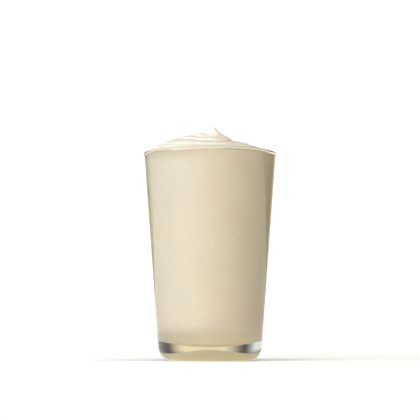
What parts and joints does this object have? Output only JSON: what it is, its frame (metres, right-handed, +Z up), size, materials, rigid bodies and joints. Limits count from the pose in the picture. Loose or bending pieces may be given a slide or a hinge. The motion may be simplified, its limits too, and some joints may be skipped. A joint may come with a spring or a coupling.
{
  "type": "vanilla milkshake in a glass",
  "caption": "Vanilla milkshake in a clear tapered tumbler with a thick base, filled to the brim and topped with a low soft swirl that ends in a small peak.",
  "frame": {"origin": "on the table, under the middle of the glass", "axes": "+Z up along the axis of the glass; -Y towards the viewer, and the swirl's last fold is on the +X side"},
  "size_m": [0.0863, 0.0864, 0.1517],
  "materials": {
    "glass": "clear smooth soda-lime glass, thick at the base",
    "milkshake": "creamy opaque vanilla milkshake with a soft satin surface"
  },
  "bodies": {
    "root": {"glass": "glass", "milkshake": "milkshake"}
  },
  "joints": []
}
